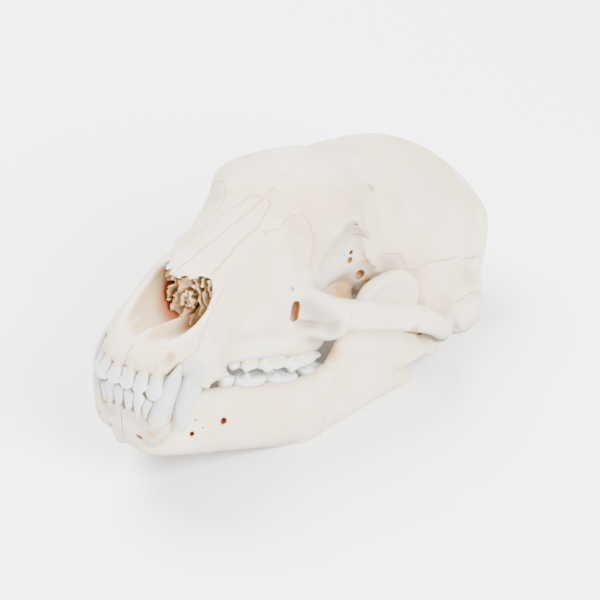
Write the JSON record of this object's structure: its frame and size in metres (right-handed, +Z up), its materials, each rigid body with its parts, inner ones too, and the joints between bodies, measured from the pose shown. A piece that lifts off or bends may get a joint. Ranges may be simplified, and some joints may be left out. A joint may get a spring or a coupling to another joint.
{
  "type": "black bear skull",
  "caption": "Life-size black bear skull with its lower jaw closed, a still display model that lies on a shelf, resting on its jaw and the back of its base.",
  "frame": {"origin": "on the floor, under the middle of the skull's box", "axes": "+X to the animal's left, nose towards -Y, +Z up"},
  "size_m": [0.1051, 0.2019, 0.0905],
  "materials": {
    "skull_bone": "matte ivory-white cleaned bone with faint cream and pink patches",
    "cheek_bone": "smooth satin ivory-white bone",
    "jaw_bone": "smooth ivory-white bone, greyer along its lower border"
  },
  "bodies": {
    "root": {"cranium": "skull_bone", "zygomatic_arch_left": "cheek_bone", "zygomatic_arch_right": "cheek_bone", "mandible_left": "jaw_bone", "mandible_right": "jaw_bone"}
  },
  "joints": []
}
